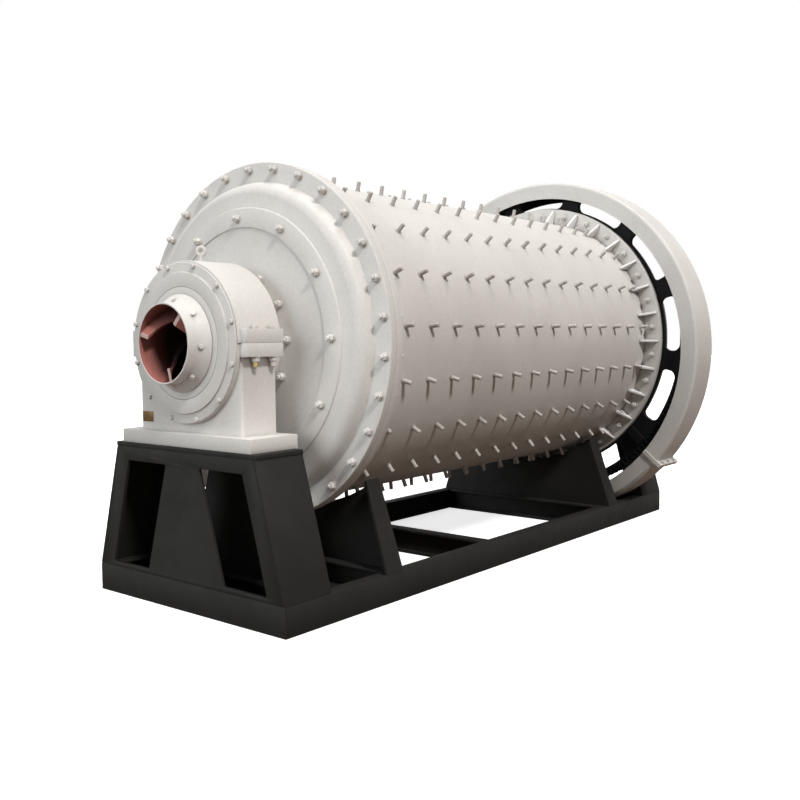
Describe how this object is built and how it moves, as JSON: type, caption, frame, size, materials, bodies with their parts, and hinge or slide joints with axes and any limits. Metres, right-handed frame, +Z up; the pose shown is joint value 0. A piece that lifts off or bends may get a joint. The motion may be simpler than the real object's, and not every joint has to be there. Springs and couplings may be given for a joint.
{
  "type": "ball mill",
  "caption": "Horizontal ball mill: a bolted drum on two pedestal bearings over a base frame, with a guarded girth gear and a spiral feed mouth.",
  "frame": {"origin": "on the floor, under the middle of the base frame", "axes": "+X along the mill axis from the feed mouth to the gear end, +Z up, -Y the side that the picture shows"},
  "size_m": [4.536, 2.716, 2.722],
  "materials": {
    "grey_paint": "satin light grey machine paint",
    "black_paint": "matt black frame paint",
    "gear_iron": "greased black cast steel",
    "primer": "matt red-brown primer",
    "liner_steel": "bare cast manganese steel"
  },
  "bodies": {
    "frame": {"drive_bearing_cap": "grey_paint", "drive_bearing_cover": "grey_paint", "drive_bearing_pedestal": "grey_paint", "drive_end_beam": "black_paint", "drive_saddle": "black_paint", "drive_saddle_beam": "black_paint", "drive_stand_beam": "black_paint", "drive_stand_front_side": "black_paint", "drive_stand_inner_panel": "black_paint", "drive_stand_outer_panel": "black_paint", "drive_stand_rear_side": "black_paint", "drive_stand_top": "black_paint", "feed_bearing_cap": "grey_paint", "feed_bearing_cover": "grey_paint", "feed_bearing_pedestal": "grey_paint", "feed_end_beam": "black_paint", "feed_saddle": "black_paint", "feed_saddle_beam": "black_paint", "feed_stand_beam": "black_paint", "feed_stand_front_side": "black_paint", "feed_stand_inner_panel": "black_paint", "feed_stand_outer_panel": "black_paint", "feed_stand_rear_side": "black_paint", "feed_stand_top": "black_paint", "front_long_beam": "black_paint", "guard_brackets": "black_paint", "guard_hood": "grey_paint", "guard_trough": "grey_paint", "mid_beam": "black_paint", "rear_long_beam": "black_paint"},
    "drum": {"shell": "grey_paint", "shell_liner": "liner_steel", "feed_shell_flange": "grey_paint", "drive_shell_flange": "grey_paint", "feed_head": "grey_paint", "drive_head": "grey_paint", "feed_trunnion": "grey_paint", "drive_trunnion": "grey_paint", "feed_tube": "grey_paint", "discharge_tube": "grey_paint", "feed_spiral": "primer", "girth_gear": "gear_iron"}
  },
  "joints": [
    {"name": "drum_spin", "type": "hinge", "parent": "frame", "child": "drum", "pos_m": [0, 0, 1.45], "axis": [1, 0, 0], "continuous": true}
  ]
}
